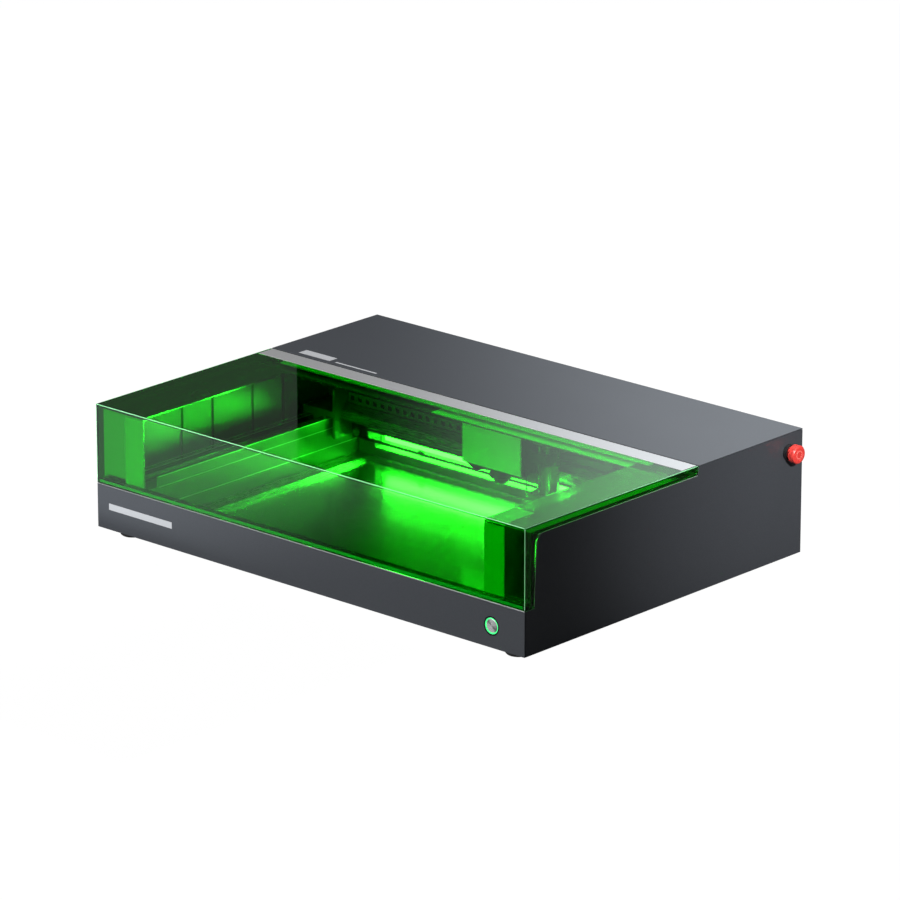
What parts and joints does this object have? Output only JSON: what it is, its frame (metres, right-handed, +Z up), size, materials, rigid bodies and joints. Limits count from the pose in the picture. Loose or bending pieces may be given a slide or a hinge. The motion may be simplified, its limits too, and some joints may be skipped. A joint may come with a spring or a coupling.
{
  "type": "laser engraver",
  "caption": "Enclosed bench-top laser engraver: dark sheet housing, green acrylic lid, lit bed, moving gantry with laser module, emergency stop and rear exhaust.",
  "frame": {"origin": "centre of the whole machine's outline on the plane that its four feet stand on", "axes": "+X to the operator's right, +Y to the back, +Z up"},
  "size_m": [0.785, 0.561, 0.183],
  "materials": {
    "housing_paint": "fine textured dark grey powder coat on sheet",
    "frame_paint": "satin black coat on inner sheet",
    "green_acrylic": "clear tinted laser-filter acrylic, polished",
    "satin_aluminium": "satin anodised, brushed along its length",
    "ground_steel": "ground and lightly oiled",
    "bed_steel": "smooth bright sheet, slightly reflective",
    "black_plastic": "moulded, fine matt texture",
    "light_diffuser": "frosted diffuser, lit",
    "red_plastic": "moulded, semi-gloss red",
    "black_rubber": "matt moulded rubber",
    "glow_ring": "translucent ring, lit green",
    "module_paint": "pale champagne satin coat"
  },
  "bodies": {
    "frame": {"front_panel": "housing_paint", "left_side_panel": "housing_paint", "right_side_panel": "housing_paint", "rear_panel": "housing_paint", "top_cover": "housing_paint", "base_plate": "frame_paint", "front_beam": "frame_paint", "left_channel": "frame_paint", "right_channel": "frame_paint", "left_inner_wall": "frame_paint", "right_inner_wall": "frame_paint", "rear_inner_wall": "frame_paint", "opening_frame": "frame_paint", "bed_frame": "satin_aluminium", "power_supply": "satin_aluminium", "left_y_rail": "ground_steel", "right_y_rail": "ground_steel", "left_hinge_bracket": "ground_steel", "right_hinge_bracket": "ground_steel", "button_bezel": "ground_steel", "work_plate": "bed_steel", "left_y_motor": "black_plastic", "right_y_motor": "black_plastic", "stop_collar": "black_plastic", "exhaust_fan_frame": "black_plastic", "exhaust_collar": "black_plastic", "power_inlet": "black_plastic", "light_bar": "light_diffuser", "front_left_foot": "black_rubber", "front_right_foot": "black_rubber", "rear_left_foot": "black_rubber", "rear_right_foot": "black_rubber", "button_ring": "glow_ring"},
    "lid": {"lid_shell": "green_acrylic", "lid_trim_bar": "satin_aluminium"},
    "gantry": {"x_beam": "satin_aluminium", "x_rail": "ground_steel", "left_gantry_end": "black_plastic", "right_gantry_end": "black_plastic", "x_belt": "black_rubber", "x_motor": "black_plastic", "cable_chain_lower": "black_plastic"},
    "carriage": {"x_carriage_plate": "satin_aluminium", "cable_chain_upper": "black_plastic", "z_axis_bracket": "satin_aluminium"},
    "laser_module": {"laser_housing": "black_plastic", "laser_front_cover": "module_paint", "laser_nozzle": "black_plastic"},
    "z_lead_screw": {"z_screw": "ground_steel"},
    "chain_bend": {"cable_chain_bend": "black_plastic"},
    "drive_pulley": {"x_drive_pulley": "satin_aluminium"},
    "idler_pulley": {"x_idler_pulley": "satin_aluminium"},
    "left_lead_screw": {"left_y_screw": "ground_steel"},
    "right_lead_screw": {"right_y_screw": "ground_steel"},
    "impeller": {"exhaust_impeller": "black_plastic"},
    "stop_stem": {"stop_plunger": "black_plastic"},
    "stop_knob": {"stop_head": "red_plastic"},
    "power_button": {"button_cap": "ground_steel"},
    "rocker": {"power_rocker": "red_plastic"}
  },
  "joints": [
    {"name": "lid_hinge", "type": "hinge", "parent": "frame", "child": "lid", "pos_m": [-0.01, 0.0495, 0.178], "axis": [-1, 0, 0], "range_deg": [0, 75]},
    {"name": "gantry_y", "type": "slide", "parent": "frame", "child": "gantry", "axis": [0, -1, 0], "range_m": [0, 0.3]},
    {"name": "carriage_x", "type": "slide", "parent": "gantry", "child": "carriage", "axis": [1, 0, 0], "range_m": [-0.262, 0.183]},
    {"name": "module_z", "type": "slide", "parent": "carriage", "child": "laser_module", "axis": [0, 0, -1], "range_m": [0, 0.035]},
    {"name": "z_screw_turn", "type": "hinge", "parent": "carriage", "child": "z_lead_screw", "pos_m": [0.079, 0.0805, 0.108], "axis": [0, 0, 1], "continuous": true},
    {"name": "chain_bend_x", "type": "slide", "parent": "gantry", "child": "chain_bend", "axis": [1, 0, 0], "range_m": [-0.1311, 0.0916]},
    {"name": "drive_pulley_turn", "type": "hinge", "parent": "gantry", "child": "drive_pulley", "pos_m": [-0.29, 0.1205, 0.0675], "axis": [0, 1, 0], "continuous": true},
    {"name": "idler_pulley_turn", "type": "hinge", "parent": "gantry", "child": "idler_pulley", "pos_m": [0.27, 0.1205, 0.0675], "axis": [0, 1, 0], "continuous": true},
    {"name": "left_screw_turn", "type": "hinge", "parent": "frame", "child": "left_lead_screw", "pos_m": [-0.334, -0.0045, 0.0815], "axis": [0, 1, 0], "continuous": true},
    {"name": "right_screw_turn", "type": "hinge", "parent": "frame", "child": "right_lead_screw", "pos_m": [0.314, -0.0045, 0.0815], "axis": [0, 1, 0], "continuous": true},
    {"name": "impeller_spin", "type": "hinge", "parent": "frame", "child": "impeller", "pos_m": [0.19, 0.2491, 0.11], "axis": [0, 1, 0], "continuous": true},
    {"name": "stop_press", "type": "slide", "parent": "frame", "child": "stop_stem", "axis": [-1, 0, 0], "range_m": [0, 0.0026], "stiffness_N_per_m": 1500},
    {"name": "stop_twist", "type": "hinge", "parent": "stop_stem", "child": "stop_knob", "pos_m": [0.3728, 0.2415, 0.157], "axis": [1, 0, 0], "range_deg": [0, 45], "stiffness_Nm_per_rad": 0.06},
    {"name": "button_press", "type": "slide", "parent": "frame", "child": "power_button", "axis": [0, 1, 0], "range_m": [0, 0.0012], "stiffness_N_per_m": 1500},
    {"name": "rocker_tilt", "type": "hinge", "parent": "frame", "child": "rocker", "pos_m": [-0.2935, 0.263, 0.05], "axis": [0, 0, 1], "range_deg": [0, 18]}
  ],
  "couplings": [
    {"joint": "left_screw_turn", "follows": "gantry_y", "rad_per_m": 628.32},
    {"joint": "right_screw_turn", "follows": "gantry_y", "rad_per_m": 628.32},
    {"joint": "drive_pulley_turn", "follows": "carriage_x", "rad_per_m": 142.86},
    {"joint": "idler_pulley_turn", "follows": "carriage_x", "rad_per_m": 142.86},
    {"joint": "chain_bend_x", "follows": "carriage_x", "ratio": 0.5},
    {"joint": "z_screw_turn", "follows": "module_z", "rad_per_m": -1570.8}
  ]
}
